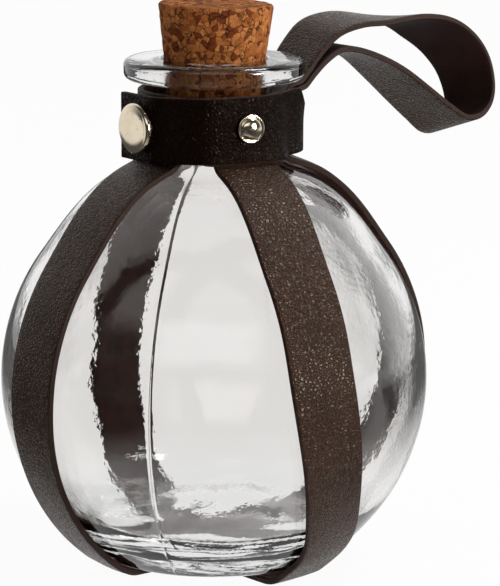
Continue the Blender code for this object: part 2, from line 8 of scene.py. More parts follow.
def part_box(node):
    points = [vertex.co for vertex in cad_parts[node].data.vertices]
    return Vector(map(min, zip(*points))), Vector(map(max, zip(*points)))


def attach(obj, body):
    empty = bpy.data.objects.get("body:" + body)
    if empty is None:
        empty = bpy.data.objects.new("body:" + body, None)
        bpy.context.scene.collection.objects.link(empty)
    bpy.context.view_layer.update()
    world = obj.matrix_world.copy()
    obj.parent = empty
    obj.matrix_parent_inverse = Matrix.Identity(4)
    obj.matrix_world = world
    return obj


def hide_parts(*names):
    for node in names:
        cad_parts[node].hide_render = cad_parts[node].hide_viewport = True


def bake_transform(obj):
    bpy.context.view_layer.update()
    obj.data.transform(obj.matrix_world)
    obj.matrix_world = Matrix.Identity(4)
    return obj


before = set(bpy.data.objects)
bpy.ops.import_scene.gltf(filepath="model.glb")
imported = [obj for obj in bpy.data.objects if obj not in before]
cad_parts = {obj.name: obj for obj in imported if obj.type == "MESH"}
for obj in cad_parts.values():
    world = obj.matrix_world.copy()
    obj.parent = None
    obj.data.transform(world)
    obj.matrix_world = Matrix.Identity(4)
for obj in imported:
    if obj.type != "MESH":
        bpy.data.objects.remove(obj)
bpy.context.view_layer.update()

# Camera, placed from the globe's middle
view_azimuth = 53.5           # degrees from the snap towards the right rivet
view_distance = 0.600
view_height = 0.1461
view_pitch = 11.98
view_yaw = 0.77
view_roll = 0.19
view_lens = 167.4

# Light. A strength of 1 is white. Reaches and turns in the sky are sines of an angle.
window_azimuth = 50           # soft window that shows in the glass
window_elevation = 30
window_across = (0.30, 0.62)
window_rise = (0.10, 0.27)
window_strength = 1.2
strip_azimuth = 112           # narrow bright patch on the right
strip_elevation = 4
strip_across = (0.05, 0.16)
strip_rise = (0.10, 0.30)
strip_strength = 36
wall_turn = (0, 0.50)         # from the front strength to the wall's
wall_strength = 0.90          # world behind the bottle, as metal and glass show it
front_strength = 0.05         # and in front of it
fill_strength = 0.38          # world for diffuse light
fill_colour = (1, 0.93, 0.88)
floor_radius = 4
floor_turn = (-0.20, 0)       # metres behind the bottle's axis
floor_strength = 0.86         # floor behind the bottle, as metal and glass show it
floor_front_strength = 0.07
floor_dim_start = (0.05, 0.13)  # metres to either side, where it turns dim and bright again
floor_dim_end = (0.32, 0.46)
floor_dim_share = 0.06
floor_glow_share = 0.95       # of the floor's look, where it is seen
floor_colour = (0.9, 0.9, 0.9)
floor_rough = 0.8
lamp_azimuth = 150
lamp_elevation = 62
lamp_distance = 1
lamp_size = (0.36, 0.30)
lamp_power = 5

# Meshes
on_axis = 1e-9                # metres, a radius below it is a point on the axis
cork_segments = 140
snap_segments = 96
rivet_segments = 64
sharp_angle = 50              # degrees
cork_sharp_angle = 60

# Glass
base_radius = 0.0273
base_wall = 0.007
wall = 0.003
heel_round = 0.004
floor_round = 0.018
punt_radius = 0.0085
punt_depth = 0.0012
crown_lift = 0.003
crown_start = 36
crown_end = 66
shoulder_round = 0.005
neck_radius = 0.0136
neck_length = 0.0145
lip_radius = 0.02006
lip_height = 0.0047
lip_round = 0.0016
lip_corner = 0.0008
bore_round = 0.0007
bore_clearance = 0.0005
seam_azimuths = (36.9, 216.9)
seam_height = 0.00016
seam_width = 0.00030
inside_wave = 0.00016
inside_wave_size = 0.011
outside_wave = 0.00005
outside_wave_size = 0.016
heel_ripple = 0.00010
heel_ripple_pitch = 0.0013
heel_ripple_drift = 0.02
heel_ripple_start = 0.0015
heel_ripple_top = 0.012
heel_ripple_fade = 0.005
outside_wave_fade = 0.004
seam_fade = 0.003
seam_reach = 5                # degrees
seam_steps = (0, 0.1, 0.2, 0.35, 0.5, 0.8, 1.2)
glass_step = 1.5              # degrees
floor_wave_size = 0.008
floor_wave_top = 0.002
floor_wave_share = 2.5

# Cork
cork_top_radius = 0.0127
cork_bottom_radius = 0.0096
cork_length = 0.026
cork_depth = 0.014
cork_round = 0.0007
cork_lean = 1.4
cork_lean_azimuth = 143.5
cork_chip = 0.00016
chip_size = 0.0011
fine_chip_size = 0.0005

# Leather
leather = 0.0014
gap = 0.0003
edge_round = 0.0004
edge_groove = 0.00012
edge_corner_turn = 0.6        # radians round the corner, where the cut edge begins
small_turn = 0.0001           # radians, below which a section is drawn straight
tiny_turn = 0.00001           # the same for the loop's tails
strap_width = 0.0152
strap_low_share = 0.87        # of that width, where a strap goes under the bottle
strap_taper_top = 0.005
strap_taper = 0.035
loop_width = 0.0143
# Azimuths of both halves of both straps, evenly spaced from the globe's foot to its shoulder.
cradle_front_turn_shares = [-1, -0.8, -0.4, 0.1, 0.2, 0.2, 0]
cradle_back_turn_shares = [176, 170, 166, 165, 165.5, 166.3, 168]
cross_front_turn_shares = [97, 89.3, 84.8, 82, 81.2, 80.3, 80]
cross_back_turn_shares = [267, 265.5, 263.5, 262.5, 262, 262.5, 263]
turn_range_shares = (-0.75, 1.05)  # of the globe's radius, above its middle
strap_bend = 0.005
strap_back_bend = 0.0044
strap_relax = 0.004
strap_cling = 0.4
strap_top_inset = 0.0015
cradle_leave = 50
cradle_heel_bend = 0.009
cross_leave = 51
cross_heel_bend = 0.008
hide_wave = 0.00010
hide_wave_size = 0.012

# Collar and flap
collar_lip_gap = 0.002
collar_drop = 0.0021
collar_end_azimuth = 376
collar_seam_azimuth = 180
flap_azimuth = 44
collar_dip = 0.0036
collar_flare = 0.0004
dip_full, dip_none = 26, 36
flare_full, flare_none = 26, 38
swell_full, swell_none = 27, 50
collar_layer_shares = [(44, 1), (74, 0), (125, 0), (158, 2), (202, 2), (235, 0), (376, 0)]
flap_reach = 0.0065
flap_bend = 0.006
snap_room = 0.0022

# Snap and rivets
seat_gap = 0.0002
snap_cap_radius = 0.0056
snap_cap_height = 0.0017
snap_cap_crown = 0.0003
snap_rim_round = 0.0007
cap_post_radius = 0.00135
rivet_ring_radius = 0.0032
rivet_ring_height = 0.0004
rivet_dome_radius = 0.00245
rivet_dome_height = 0.0011
rivet_groove = 0.00012
rivet_groove_width = 0.0003
snap_cap_foot = 0.0001
rivet_right_azimuth = 81
rivet_left_azimuth = 263
rivet_rise = 0.0003
rivet_back_drop = 0.003

# Carrying loop
loop_reach = 0.0537
loop_exit = 45
loop_bend = 0.004
loop_lip_gap = 0.00038
loop_fold_out = 0.006
loop_flatten = 0.003
tail_inset = 0.0027
loop_route_shares = [
    (0.045, 0.082, 0.02, -0.05), (0.140, 0.160, 0.05, -0.09), (0.268, 0.190, 0.05, -0.09),
    (0.410, 0.186, 0.05, -0.04), (0.610, 0.169, 0.08, 0.19), (0.754, 0.120, 0.42, 0.36),
    (0.866, 0.049, 0.52, 0.38), (0.950, -0.047, 0.43, 0.37), (0.993, -0.160, 0.32, 0.36),
    (0.988, -0.248, 0.26, 0.36), (0.931, -0.304, 0.26, 0.36), (0.848, -0.304, 0.26, 0.34),
    (0.756, -0.244, 0.22, 0.27), (0.644, -0.160, 0.17, 0.23), (0.508, -0.058, 0.08, 0.18),
    (0.372, 0.028, 0.03, 0.04), (0.242, 0.076, 0, 0), (0.155, 0.080, 0, 0), (0.076, 0.041, 0, 0)]

# Surfaces. Scales are in noise cells to the metre, sizes in metres.
strap_colour = (0.040, 0.0185, 0.0110)
strap_tint = (1, 0.84, 0.70)
strap_shine = 0.24
# The collar: the straps' grain leather painted far darker, painted shade
collar_shade_colour = (0.0045, 0.0018, 0.0010)
collar_tint = (0.9, 0.66, 0.50)
collar_shine = 0.09
grain_rough = 0.21
valley_rough = 0.3            # added in the valleys of the grain
# Painted shade: the grain's valleys are darkened towards a fifth of the colour
valley_painted_shade = 0.85
flesh_colour = (0.080, 0.0220, 0.0125)
# Painted shade: the loop's inner side is the flesh side painted far darker
loop_inside_shade_colour = (0.022, 0.0050, 0.0032)
flesh_rough = 0.72
flesh_shine = 0.25
edge_dark_colour = (0.013, 0.0058, 0.0038)
edge_light_colour = (0.036, 0.0165, 0.0108)
# Two lighter lines along the cut edge: fibres, and painted highlight on its ridges
edge_line_and_highlight_colour = (0.15, 0.095, 0.070)
# Painted shade along both borders of the cut edge, where it turns into the faces
edge_rim_shade_colour = (0.015, 0.007, 0.005)
edge_rough = 0.6
edge_shine = 0.2
edge_line_place = 0.36      # of half the thickness, from the middle
edge_rim_shade_reach = (0.62, 0.95)
pebble_size = 0.00078
pebble_warp = 0.7
pebble_dome = 0.32            # reach of a pebble's rounding in from its edge, in cells
pebble_valley = 0.14
fine_crease_share = 0.08
fine_crease_ratio = 2.3
pebble_depth = 0.00011
crease_scale = 420
hide_tone_size = 0.011
flesh_tone_size = 0.006
nap_scale = 2600
nap_depth = 0.00012
fibre_scale = (900, 6000, 1)
fibre_depth = 0.0001
cork_dark_colour = (0.34, 0.115, 0.028)
cork_light_colour = (0.60, 0.250, 0.070)
cork_bark_colour = (0.115, 0.026, 0.006)
cork_stain_colour = (0.20, 0.042, 0.008)
cork_crack_colour = (0.035, 0.010, 0.005)
cork_rough = 0.8
cork_shine = 0.12
cork_grain = 0.0014
cork_warp = 0.0014
cork_warp_scale = 700
cork_fine_scale = 2600
cork_crack_scale = 420
cork_pit_scale = 1250
pit_depth = 0.0003
nickel_colour = (0.86, 0.75, 0.57)
plain_nickel_colour = (0.62, 0.60, 0.56)
tarnish_colour = (0.42, 0.36, 0.27)
nickel_rough = 0.10
plain_nickel_rough = 0.28
nickel_tone_size = 0.004
rub_size = 0.0009
speck_depth = 0.00004
glass_colour = (0.990, 0.978, 0.968)
thick_glass_colour = (0.93, 0.955, 0.95)
glass_index = 1.5
glass_ripple_scale = 130
glass_fine_ripple_scale = 900
glass_ripple_depth = 0.0006
outer_ripple = 0.10
inner_ripple = 0.18

# Places that follow
glass_low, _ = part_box("glass_bottle")
layer = leather + gap
base_height = glass_low.z
body_radius = 0.048
centre_height = base_height + sqrt(body_radius ** 2 - base_radius ** 2)
crown_radius = body_radius + crown_lift
neck_foot = centre_height + sqrt((crown_radius + shoulder_round) ** 2
                                 - (neck_radius + shoulder_round) ** 2)
lip_underside = neck_foot + neck_length
rim_height = lip_underside + lip_height
collar_bottom = neck_foot - collar_drop
collar_height = neck_length + collar_drop - collar_lip_gap
collar_top = collar_bottom + collar_height
collar_middle = collar_bottom + collar_height / 2
strap_offset = gap + leather / 2
strap_radius = neck_radius + strap_offset
tail_inner_radius = strap_radius + layer
tail_outer_radius = tail_inner_radius + layer
collar_radius = strap_radius + layer
collar_face = collar_radius + leather / 2
flap_inner = collar_face + snap_room
flap_outer = flap_inner + leather
cork_slope = (cork_top_radius - cork_bottom_radius) / cork_length
near_top = collar_bottom + strap_relax


def ease(share):
    share = min(max(share, 0), 1)
    return share * share * (3 - 2 * share)


def outward(azimuth):
    turn = radians(azimuth)
    return Vector((sin(turn), -cos(turn), 0))


def spot_at(azimuth, radius, height):
    return outward(azimuth) * radius + Vector((0, 0, height))


def skyward(azimuth, elevation):
    return spot_at(azimuth, cos(radians(elevation)), sin(radians(elevation)))


def spline(knots, share):
    place = share * (len(knots) - 1)
    first = min(int(place), len(knots) - 2)
    t = place - first
    a, b, c, d = (knots[min(max(first + step, 0), len(knots) - 1)] for step in (-1, 0, 1, 2))
    return 0.5 * (2 * b + (c - a) * t + (2 * a - 5 * b + 4 * c - d) * t * t
                  + (3 * b - a - 3 * c + d) * t ** 3)


def arc(centre, radius, start, end, steps):
    """Points of an arc in a profile, by angles in degrees above the outward direction."""
    turns = [radians(start + (end - start) * step / steps) for step in range(steps + 1)]
    return [(centre[0] + radius * cos(turn), centre[1] + radius * sin(turn)) for turn in turns]


# Camera


def place_camera():
    turn = Matrix.Rotation(radians(view_azimuth), 3, "Z")
    pitch, yaw, roll = radians(view_pitch), radians(view_yaw), radians(view_roll)
    ahead = Vector((sin(yaw) * cos(pitch), cos(yaw) * cos(pitch), -sin(pitch)))
    level = Vector((cos(yaw), -sin(yaw), 0))
    rise = level.cross(ahead)
    right = level * cos(roll) + rise * sin(roll)
    up = rise * cos(roll) - level * sin(roll)
    data = bpy.data.cameras.new("camera")
    data.lens = view_lens
    camera = bpy.data.objects.new("camera", data)
    bpy.context.scene.collection.objects.link(camera)
    axes = Matrix((turn @ right, turn @ up, turn @ -ahead)).transposed().to_4x4()
    eye = turn @ Vector((0, -view_distance, view_height)) + Vector((0, 0, centre_height))
    camera.matrix_world = Matrix.Translation(eye) @ axes
    bpy.context.scene.camera = camera


place_camera()

# Node helpers


def feed(tree, socket, value):
    """Set a socket from a plain value, or link it from another socket."""
    if isinstance(value, bpy.types.NodeSocket):
        tree.links.new(value, socket)
    elif hasattr(value, "__len__") and len(value) == 3 and len(socket.default_value) == 4:
        socket.default_value = (*value, 1)
    else:
        socket.default_value = value


def feed_all(tree, node, values):
    for label, value in values.items():
        feed(tree, node.inputs[label], value)


def calc(tree, operation, first, second=None):
    made = tree.nodes.new("ShaderNodeMath")
    made.operation = operation
    feed(tree, made.inputs[0], first)
    if second is not None:
        feed(tree, made.inputs[1], second)
    return made.outputs[0]


def times(tree, first, second):
    return calc(tree, "MULTIPLY", first, second)


def plus(tree, first, second):
    return calc(tree, "ADD", first, second)


def vector_calc(tree, operation, first, second, place=1, output="Vector"):
    made = tree.nodes.new("ShaderNodeVectorMath")
    made.operation = operation
    feed(tree, made.inputs[0], first)
    feed(tree, made.inputs[place], second)
    return made.outputs[output]


def vector_dot(tree, first, second):
    return vector_calc(tree, "DOT_PRODUCT", first, second, output="Value")


def blend_number(tree, share, first, second):
    made = tree.nodes.new("ShaderNodeMix")
    feed(tree, made.inputs[0], share)
    feed(tree, made.inputs[2], first)
    feed(tree, made.inputs[3], second)
    return made.outputs[0]


def blend_colour(tree, share, first, second):
    made = tree.nodes.new("ShaderNodeMix")
    made.data_type = "RGBA"
    feed(tree, made.inputs[0], share)
    feed(tree, made.inputs[6], first)
    feed(tree, made.inputs[7], second)
    return made.outputs[2]


def span(tree, value, low, high, new_low=0, new_high=1):
    made = tree.nodes.new("ShaderNodeMapRange")
    made.interpolation_type = "SMOOTHSTEP"
    for socket, number in zip(made.inputs, (value, low, high, new_low, new_high)):
        feed(tree, socket, number)
    return made.outputs[0]


def grain_noise(tree, vector, scale, detail=2, rough=0.5):
    made = tree.nodes.new("ShaderNodeTexNoise")
    feed(tree, made.inputs["Vector"], vector)
    feed(tree, made.inputs["Scale"], scale)
    made.inputs["Detail"].default_value = detail
    made.inputs["Roughness"].default_value = rough
    return made.outputs["Fac"]


def cells(tree, vector, scale, feature="DISTANCE_TO_EDGE", output="Distance"):
    made = tree.nodes.new("ShaderNodeTexVoronoi")
    made.feature = feature
    feed(tree, made.inputs["Vector"], vector)
    feed(tree, made.inputs["Scale"], scale)
    return made.outputs[output]


def wander(tree, place, scale, reach, detail=2):
    """A place moved about by a noise, by up to half the reach each way."""
    drift = tree.nodes.new("ShaderNodeTexNoise")
    feed(tree, drift.inputs["Vector"], place)
    feed(tree, drift.inputs["Scale"], scale)
    drift.inputs["Detail"].default_value = detail
    shift = vector_calc(tree, "SUBTRACT", drift.outputs["Color"], (0.5, 0.5, 0.5))
    return vector_calc(tree, "ADD", place, vector_calc(tree, "SCALE", shift, reach, "Scale"))


def shade(colour, share):
    return tuple(share * part for part in colour)


def node_group(name, inputs, outputs):
    """An empty group with named sockets, given as (name, socket type, default)."""
    tree = bpy.data.node_groups.new(name, "ShaderNodeTree")
    for label, kind, default in inputs:
        socket = tree.interface.new_socket(name=label, in_out="INPUT", socket_type=kind)
        if default is not None:
            socket.default_value = default
    for label, kind in outputs:
        tree.interface.new_socket(name=label, in_out="OUTPUT", socket_type=kind)
    return tree, tree.nodes.new("NodeGroupInput").outputs, tree.nodes.new("NodeGroupOutput").inputs


def use(tree, group, **values):
    """Place a group in a material, with its inputs by name (underscores for spaces)."""
    made = tree.nodes.new("ShaderNodeGroup")
    made.node_tree = group
    for label, value in values.items():
        feed(tree, made.inputs[label.replace("_", " ").capitalize()], value)
    return made.outputs


def material(name):
    made = bpy.data.materials.new(name)
    made.use_nodes = True
    tree = made.node_tree
    return made, tree, tree.nodes["Principled BSDF"]


def bump(tree, height, strength, distance):
    made = tree.nodes.new("ShaderNodeBump")
    made.inputs["Strength"].default_value = strength
    made.inputs["Distance"].default_value = distance
    feed(tree, made.inputs["Height"], height)
    return made.outputs[0]


FLOAT, COLOUR, VECTOR = "NodeSocketFloat", "NodeSocketColor", "NodeSocketVector"


def make_pebble_group():
    """Pebbled grain: rounded cells with narrow valleys, broken up by finer creases."""
    tree, inside, out = node_group("pebbled grain", [
        ("Vector", VECTOR, None), ("Cell size", FLOAT, pebble_size), ("Warp", FLOAT, pebble_warp)],
        [("Height", FLOAT), ("Valley", FLOAT)])
    scale = calc(tree, "DIVIDE", 1, inside["Cell size"])
    reach = times(tree, inside["Cell size"], inside["Warp"])
    place = wander(tree, inside["Vector"], times(tree, scale, 0.6), reach)
    edge = cells(tree, place, scale)
    dome = times(tree, span(tree, edge, 0, pebble_dome), 1 - fine_crease_share)
    fine = cells(tree, place, times(tree, scale, fine_crease_ratio))
    fine_dome = times(tree, span(tree, fine, 0, 0.3), fine_crease_share)
    feed(tree, out["Height"], plus(tree, dome, fine_dome))
    feed(tree, out["Valley"], span(tree, edge, 0, pebble_valley, 1, 0))
    return tree


def make_mottle_group():
    """Slow changes of tone over a surface: a colour pulled towards a darker and a lighter one."""
    tree, inside, out = node_group("mottled tone", [
        ("Vector", VECTOR, None), ("Size", FLOAT, hide_tone_size), ("Colour", COLOUR, None),
        ("Dark", COLOUR, None), ("Light", COLOUR, None)],
        [("Colour", COLOUR), ("Mask", FLOAT)])
    scale = calc(tree, "DIVIDE", 1, inside["Size"])
    broad = grain_noise(tree, inside["Vector"], scale, 4, 0.55)
    fine = grain_noise(tree, inside["Vector"], times(tree, scale, 7), 3, 0.6)
    darker = span(tree, broad, 0.42, 0.7)
    lighter = span(tree, fine, 0.52, 0.75)
    colour = blend_colour(tree, darker, inside["Colour"], inside["Dark"])
    feed(tree, out["Colour"], blend_colour(tree, lighter, colour, inside["Light"]))
    feed(tree, out["Mask"], darker)
    return tree


def make_rub_group():
    """Hairline rubs and specks of a handled surface."""
    tree, inside, out = node_group("rubbed surface", [
        ("Vector", VECTOR, None), ("Size", FLOAT, rub_size)], [("Rub", FLOAT), ("Speck", FLOAT)])
    scale = calc(tree, "DIVIDE", 1, inside["Size"])
    stretched = vector_calc(tree, "MULTIPLY", inside["Vector"], (1, 0.07, 0.35))
    lines = grain_noise(tree, stretched, times(tree, scale, 2.5), 3, 0.7)
    dots = grain_noise(tree, inside["Vector"], scale, 2, 0.6)
    feed(tree, out["Rub"], span(tree, lines, 0.5, 0.72))
    feed(tree, out["Speck"], span(tree, dots, 0.62, 0.72))
    return tree


pebbles = make_pebble_group()
mottle = make_mottle_group()
rubs = make_rub_group()


def uv(tree, name):
    made = tree.nodes.new("ShaderNodeUVMap")
    made.uv_map = name
    return made.outputs[0]


def own_place(tree):
    return tree.nodes.new("ShaderNodeTexCoord").outputs["Object"]


def make_grain_leather(name, colour, tint, shine):
    made, tree, shader = material(name)
    place = uv(tree, "Grain")
    grain = use(tree, pebbles, vector=place, cell_size=pebble_size, warp=pebble_warp)
    tone = use(tree, mottle, vector=place, size=hide_tone_size, colour=colour,
               dark=shade(colour, 0.7), light=shade(colour, 1.4))
    # Painted shade in the grain's valleys
    dark = times(tree, grain["Valley"], valley_painted_shade)
    shaded = blend_colour(tree, dark, tone["Colour"], shade(colour, 0.2))
    rough = plus(tree, grain_rough, times(tree, grain["Valley"], valley_rough))
    rough = plus(tree, rough, times(tree, tone["Mask"], 0.08))
    creases = grain_noise(tree, place, crease_scale)
    height = plus(tree, grain["Height"], times(tree, creases, 0.15))
    feed_all(tree, shader, {
        "Base Color": shaded, "Roughness": rough, "Specular IOR Level": shine,
        "Specular Tint": tint, "Normal": bump(tree, height, 1, pebble_depth)})
    return made


def make_flesh_leather(name, colour):
    made, tree, shader = material(name)
    place = uv(tree, "Grain")
    tone = use(tree, mottle, vector=place, size=flesh_tone_size, colour=colour,
               dark=shade(colour, 0.6), light=shade(colour, 1.4))
    nap = grain_noise(tree, place, nap_scale, 4, 0.7)
    feed_all(tree, shader, {
        "Base Color": tone["Colour"], "Roughness": flesh_rough, "Specular IOR Level": flesh_shine,
        "Normal": bump(tree, nap, 0.5, nap_depth)})
    return made


def make_edge_leather():
    made, tree, shader = material("cut leather edge")
    place = uv(tree, "Grain")
    through = tree.nodes.new("ShaderNodeSeparateXYZ")
    feed(tree, through.inputs[0], uv(tree, "Edge"))
    fibre = grain_noise(tree, vector_calc(tree, "MULTIPLY", place, fibre_scale), 1, 4, 0.7)
    away = calc(tree, "ABSOLUTE", through.outputs[1])
    lines = calc(tree, "ABSOLUTE", calc(tree, "SUBTRACT", away, edge_line_place))
    light_lines = span(tree, plus(tree, lines, times(tree, fibre, 0.1)), 0.05, 0.14, 1, 0)
    colour = blend_colour(tree, fibre, edge_dark_colour, edge_light_colour)
    # Lighter lines along the edge, partly painted highlight
    colour = blend_colour(tree, times(tree, light_lines, 0.35), colour, edge_line_and_highlight_colour)
    # Painted shade at both borders of the cut edge
    colour = blend_colour(tree, span(tree, away, *edge_rim_shade_reach), colour, edge_rim_shade_colour)
    feed_all(tree, shader, {
        "Base Color": colour, "Roughness": edge_rough, "Specular IOR Level": edge_shine,
        "Normal": bump(tree, fibre, 0.5, fibre_depth)})
    return made


def make_cork():
    made, tree, shader = material("agglomerated cork")
    place = own_place(tree)
    bent = wander(tree, place, cork_warp_scale, cork_warp, 3)
    tint = tree.nodes.new("ShaderNodeSeparateColor")
    feed(tree, tint.inputs[0], cells(tree, bent, 1 / cork_grain, "F1", "Color"))
    edge = cells(tree, bent, 1 / cork_grain)
    colour = blend_colour(tree, tint.outputs[0], cork_dark_colour, cork_light_colour)
    dark_grain = span(tree, tint.outputs[1], 0.72, 0.86)
    colour = blend_colour(tree, dark_grain, colour, cork_bark_colour)
    fine = grain_noise(tree, place, cork_fine_scale, 4, 0.65)
    stained = blend_colour(tree, 0.6, colour, cork_stain_colour)
    colour = blend_colour(tree, span(tree, fine, 0.35, 0.7), stained, colour)
    crack_noise = grain_noise(tree, place, cork_crack_scale)
    cracks = times(tree, span(tree, edge, 0.02, 0.12, 1, 0), span(tree, crack_noise, 0.38, 0.6))
    pits = span(tree, grain_noise(tree, place, cork_pit_scale, 3, 0.65), 0.62, 0.70)
    dark = calc(tree, "MAXIMUM", cracks, pits)
    colour = blend_colour(tree, times(tree, dark, 0.9), colour, cork_crack_colour)
    height = calc(tree, "SUBTRACT", times(tree, fine, 0.3), dark)
    feed_all(tree, shader, {
        "Base Color": colour, "Roughness": cork_rough, "Specular IOR Level": cork_shine,
        "Normal": bump(tree, height, 0.8, pit_depth)})
    return made


def make_nickel(name, colour, base_rough):
    made, tree, shader = material(name)
    place = own_place(tree)
    wear = use(tree, rubs, vector=place, size=rub_size)
    tone = use(tree, mottle, vector=place, size=nickel_tone_size, colour=colour,
               dark=shade(colour, 0.9), light=shade(colour, 0.97))
    tarnished = blend_colour(tree, times(tree, wear["Speck"], 0.5), tone["Colour"], tarnish_colour)
    rough = plus(tree, base_rough, times(tree, wear["Rub"], 0.10))
    rough = plus(tree, rough, times(tree, wear["Speck"], 0.15))
    feed_all(tree, shader, {
        "Base Color": tarnished, "Metallic": 1, "Roughness": rough,
        "Normal": bump(tree, wear["Speck"], 0.15, speck_depth)})
    return made


def make_glass(name, ripple_strength):
    made, tree, shader = material(name)
    place = own_place(tree)
    height = tree.nodes.new("ShaderNodeSeparateXYZ")
    feed(tree, height.inputs[0], place)
    thick = span(tree, height.outputs[2], base_height, base_height + 2 * base_wall, 1, 0)
    colour = blend_colour(tree, thick, glass_colour, thick_glass_colour)
    slow = grain_noise(tree, place, glass_ripple_scale, 3)
    quick = grain_noise(tree, place, glass_fine_ripple_scale)
    ripple = plus(tree, slow, times(tree, quick, 0.18))
    feed_all(tree, shader, {
        "Base Color": colour, "Roughness": 0, "IOR": glass_index, "Transmission Weight": 1,
        "Normal": bump(tree, ripple, ripple_strength, glass_ripple_depth)})
    return made


grain_side = make_grain_leather("brown grain leather", strap_colour, strap_tint, strap_shine)
# The collar's copy of the grain leather is darker by painted shade
collar_shaded_side = make_grain_leather("grain leather with painted shade", collar_shade_colour, collar_tint, collar_shine)
flesh_side = make_flesh_leather("brown leather inner side", flesh_colour)
# The loop's inner side, darker by painted shade
shaded_loop_inside = make_flesh_leather("leather inner side with painted shade", loop_inside_shade_colour)
cut_edge = make_edge_leather()
cork_material = make_cork()
nickel = make_nickel("bright nickel", nickel_colour, nickel_rough)
dull_nickel = make_nickel("plain nickel", plain_nickel_colour, plain_nickel_rough)
clear_glass = make_glass("clear moulded glass", outer_ripple)
inner_glass = make_glass("clear glass inner face", inner_ripple)

# Mesh helpers


def add_mesh(name, bm, materials, body=None, slot=None, stands_for=()):
    mesh = bpy.data.meshes.new(name)
    bm.to_mesh(mesh)
    bm.free()
    mesh.shade_smooth()
    for finish in materials:
        mesh.materials.append(finish)
    made = bpy.data.objects.new(name, mesh)
    bpy.context.scene.collection.objects.link(made)
    if body:
        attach(made, body)
    if stands_for:
        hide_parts(*stands_for)
    return made


def bridge(bm, rings, count):
    """Faces between rings of points, numbered by ring. A ring of one point lies on the axis."""
    faces = []
    for number, (first, second) in enumerate(zip(rings, rings[1:])):
        for step in range(count):
            after = (step + 1) % count
            corners = [first[step % len(first)], first[after % len(first)],
                       second[after % len(second)], second[step % len(second)]]
            faces.append((number, bm.faces.new(list(dict.fromkeys(corners)))))
    bmesh.ops.recalc_face_normals(bm, faces=bm.faces)
    return faces


def turned(name, profile, finish, segments, frame_matrix, body, slot, stands_for, sharp):
    """A solid of revolution about a frame's Z, from a closed or axis-to-axis profile."""
    bm = bmesh.new()
    rings = []
    for radius, height in profile:
        if radius < on_axis:
            rings.append([bm.verts.new((0, 0, height))])
        else:
            rings.append([bm.verts.new((radius * cos(2 * pi * step / segments),
                                        radius * sin(2 * pi * step / segments), height))
                          for step in range(segments)])
    bridge(bm, rings, segments)
    bm.transform(frame_matrix)
    made = add_mesh(name, bm, [finish], body, slot, stands_for)
    made.data.set_sharp_from_angle(angle=radians(sharp))
    return made


def facing(azimuth, height):
    """A frame on the bottle's axis whose Z points outwards at an azimuth."""
    out = outward(azimuth)
    up = Vector((0, 0, 1))
    turn = Matrix((up.cross(out), up, out)).transposed().to_4x4()
    return Matrix.Translation(up * height) @ turn


# Glass bottle


def globe_radius(elevation):
    return body_radius + crown_lift * ease((elevation - crown_start) / (crown_end - crown_start))


def globe(inset, start, end, steps):
    points = []
    for step in range(steps + 1):
        elevation = start + (end - start) * step / steps
        radius = globe_radius(elevation) + inset
        points.append((radius * cos(radians(elevation)),
                       centre_height + radius * sin(radians(elevation))))
    return points


def shoulder(inset, bend, inner):
    rise = sqrt((crown_radius + inset + bend) ** 2 - (inner + bend) ** 2)
    return centre_height + rise, degrees(atan2(rise, inner + bend))


def bore_radius(height):
    cork_here = cork_top_radius - cork_slope * (cork_length - cork_depth)
    return cork_here + bore_clearance - cork_slope * (rim_height - height)


def bottle_outside(fine=1):
    heel_height = base_height + heel_round
    heel_radius = sqrt((body_radius - heel_round) ** 2 - (centre_height - heel_height) ** 2)
    heel_elevation = degrees(atan2(heel_height - centre_height, heel_radius))
    turn_height, turn_elevation = shoulder(0, shoulder_round, neck_radius)
    edge = lip_radius - lip_round
    steps = 4
    punt = [(punt_radius * (1 - step / steps), base_height + punt_depth * (1 - (1 - step / steps) ** 2))
            for step in range(steps + 1)]
    return [
        *arc((edge, rim_height - lip_round), lip_round, 90, 0, 4 * fine),
        *arc((edge, lip_underside + lip_round), lip_round, 0, -90, 4 * fine),
        *arc((neck_radius + lip_corner, lip_underside - lip_corner), lip_corner, 90, 180, 3),
        *arc((neck_radius + shoulder_round, turn_height), shoulder_round,
             180, 180 + turn_elevation, 5 * fine),
        *globe(0, turn_elevation, heel_elevation, 34 * fine)[1:],
        *arc((heel_radius, heel_height), heel_round, heel_elevation, -90, 5 * fine)[1:],
        *punt,
    ]


def bottle_inside():
    floor = base_height + base_wall
    inner_radius = body_radius - wall
    round_height = floor + floor_round
    round_radius = sqrt((inner_radius - floor_round) ** 2 - (centre_height - round_height) ** 2)
    round_elevation = degrees(atan2(round_height - centre_height, round_radius))
    throat = bore_radius(rim_height - cork_depth - bore_round)
    bend = shoulder_round + wall
    turn_height, turn_elevation = shoulder(-wall, bend, throat)
    mouth = bore_radius(rim_height)
    floor_steps = 8
    return [
        *[(round_radius * step / floor_steps, floor) for step in range(floor_steps)],
        *arc((round_radius, round_height), floor_round, -90, round_elevation, 20),
        *globe(-wall, round_elevation, turn_elevation, 60)[1:],
        *arc((throat + bend, turn_height), bend, 180 + turn_elevation, 180, 8)[1:],
        (throat, rim_height - cork_depth - bore_round),
        *arc((mouth + bore_round, rim_height - bore_round), bore_round, 180, 90, 5),
    ]


def seam_rise(azimuth, radius):
    """The fine ridge that the mould's joint leaves down both sides."""
    rise = 0
    for seam in seam_azimuths:
        away = (azimuth - seam + 180) % 360 - 180
        if abs(away) < seam_reach:
            rise += seam_height * exp(-(radians(away) * radius / seam_width) ** 2)
    return rise


def glass_angles():
    angles = {round(step * glass_step, 3) for step in range(round(360 / glass_step))}
    for seam in seam_azimuths:
        angles = {angle for angle in angles if abs(angle - seam) > seam_steps[-1]}
        angles |= {round(seam + side * offset, 3) for offset in seam_steps for side in (-1, 1)}
    return sorted(angles)


def wave(place, size):
    return noise.noise(place / size)


